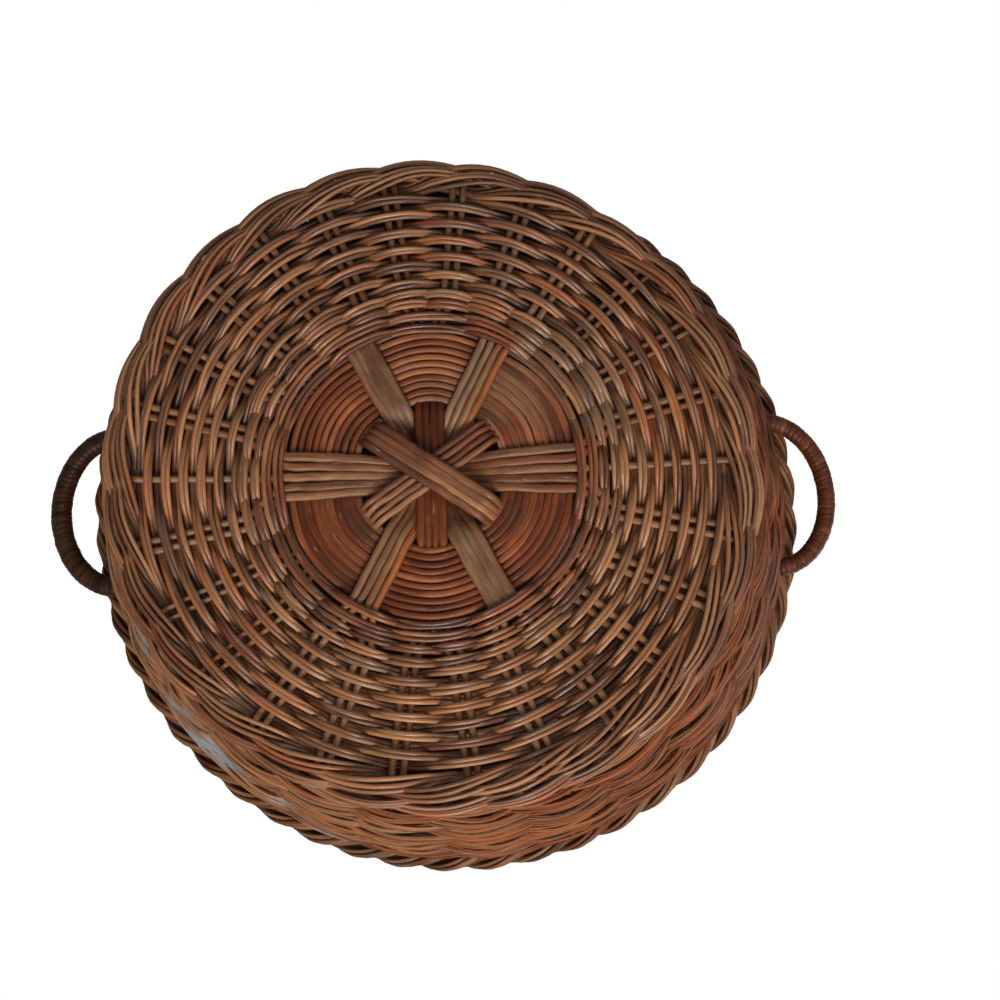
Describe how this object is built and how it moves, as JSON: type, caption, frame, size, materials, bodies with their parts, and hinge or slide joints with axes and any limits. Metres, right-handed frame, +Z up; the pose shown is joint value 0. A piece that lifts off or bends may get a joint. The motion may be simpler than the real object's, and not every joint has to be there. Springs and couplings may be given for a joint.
{
  "type": "onion basket",
  "caption": "Round woven onion basket with a star base, flared side, plaited border and two small wrapped ear handles.",
  "frame": {"origin": "centre of the foot ring on the surface that the basket stands on", "axes": "+Z up through the open mouth, +X through the right ear handle"},
  "size_m": [0.2848, 0.2608, 0.0776],
  "materials": {
    "stake_rod": "aged peeled cane rod, satin, brown with tan wear",
    "weaver": "aged reddish brown weaving cane, satin",
    "border_rod": "aged dark brown cane, rubbed on top",
    "handle_core": "bent brown rod",
    "handle_wrap": "fine split cane wrapping, reddish brown, satin"
  },
  "bodies": {
    "root": {"stake_a1": "stake_rod", "stake_a2": "stake_rod", "stake_a3": "stake_rod", "stake_a4": "stake_rod", "stake_b1": "stake_rod", "stake_b2": "stake_rod", "stake_b3": "stake_rod", "stake_b4": "stake_rod", "stake_c1": "stake_rod", "stake_c2": "stake_rod", "stake_c3": "stake_rod", "stake_c4": "stake_rod", "stake_d1": "stake_rod", "stake_d2": "stake_rod", "stake_d3": "stake_rod", "stake_d4": "stake_rod", "stake_d5": "stake_rod", "stake_e1": "stake_rod", "stake_e2": "stake_rod", "stake_e3": "stake_rod", "stake_e4": "stake_rod", "stake_f1": "stake_rod", "stake_f2": "stake_rod", "stake_f3": "stake_rod", "stake_f4": "stake_rod", "hub_weave": "weaver", "spread_weave": "weaver", "base_weave_1": "weaver", "base_weave_2": "weaver", "corner_wale": "weaver", "foot_wale": "weaver", "side_weave_1": "weaver", "side_weave_2": "weaver", "side_weave_3": "weaver", "side_weave_4": "weaver", "border": "border_rod", "handle_core_left": "handle_core", "handle_wrap_left": "handle_wrap", "handle_core_right": "handle_core", "handle_wrap_right": "handle_wrap"}
  },
  "joints": []
}
